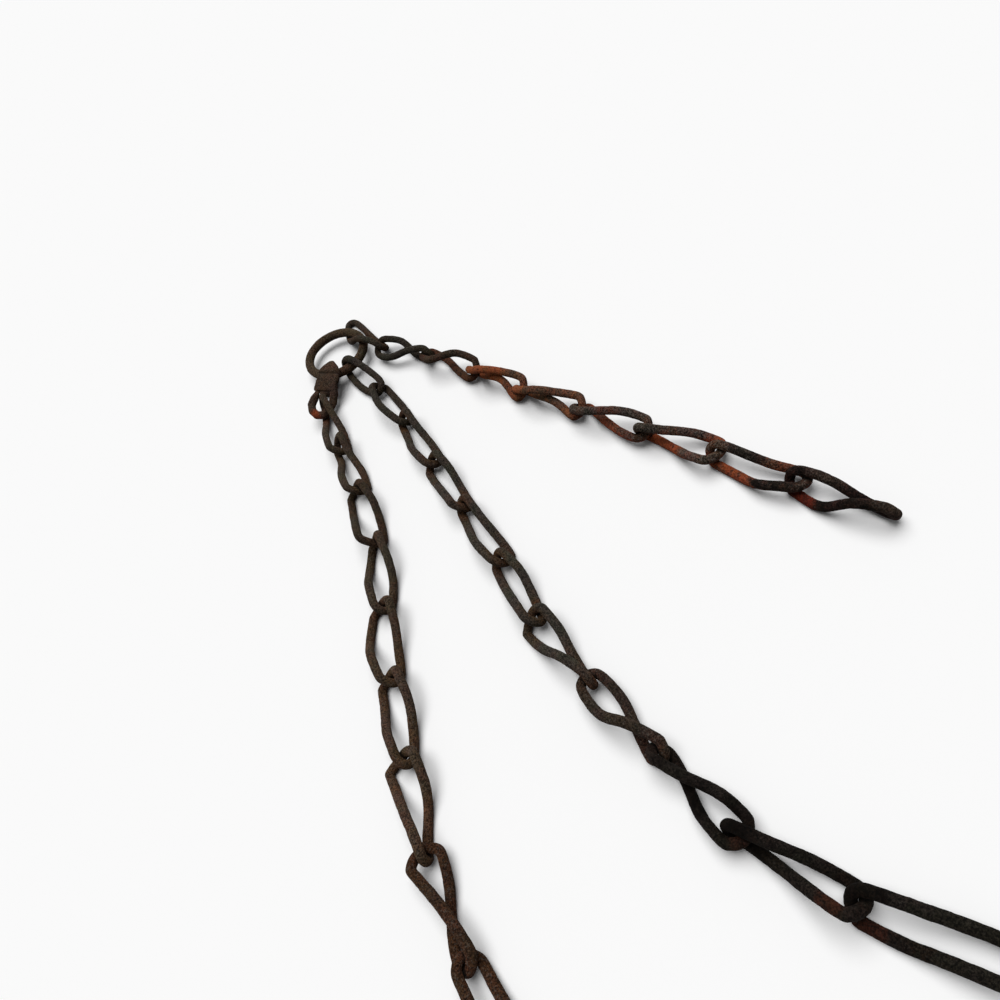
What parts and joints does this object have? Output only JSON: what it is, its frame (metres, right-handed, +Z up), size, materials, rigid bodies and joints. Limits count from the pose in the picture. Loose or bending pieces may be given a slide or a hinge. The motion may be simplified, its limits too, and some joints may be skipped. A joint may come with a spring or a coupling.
{
  "type": "hanging chain",
  "caption": "Rusty hand-bent iron chain: strands of twisted wire links gathered on one ring, one of them on a folded strap hook, lying loose on the ground.",
  "frame": {"origin": "centre of the bounding box, on the ground that the chain lies on", "axes": "+Z up from the ground, +Y along the strands towards the ring, +X from the left strand to the right one"},
  "size_m": [0.2048, 0.4082, 0.0151],
  "materials": {
    "dark_iron": "dark rusted iron, dry and granular",
    "brown_iron": "olive-brown rusted iron, dry",
    "bright_rust": "powdery orange-red rust over iron"
  },
  "bodies": {
    "root": {"ring": "brown_iron", "strap_hook": "brown_iron", "left_link_01": "dark_iron", "left_link_02": "dark_iron", "left_link_03": "dark_iron", "left_link_04": "brown_iron", "left_link_05": "brown_iron", "left_link_06": "dark_iron", "left_link_07": "dark_iron", "left_link_08": "dark_iron", "left_link_09": "dark_iron", "middle_link_01": "dark_iron", "middle_link_02": "dark_iron", "middle_link_03": "dark_iron", "middle_link_04": "dark_iron", "middle_link_05": "dark_iron", "middle_link_06": "dark_iron", "middle_link_07": "dark_iron", "middle_link_08": "dark_iron", "middle_link_09": "dark_iron", "middle_link_10": "dark_iron", "middle_link_11": "dark_iron", "right_link_01": "brown_iron", "right_link_02": "dark_iron", "right_link_03": "dark_iron", "right_link_04": "bright_rust", "right_link_05": "bright_rust", "right_link_06": "dark_iron", "right_link_07": "dark_iron", "right_link_08": "dark_iron", "right_link_09": "dark_iron"}
  },
  "joints": []
}
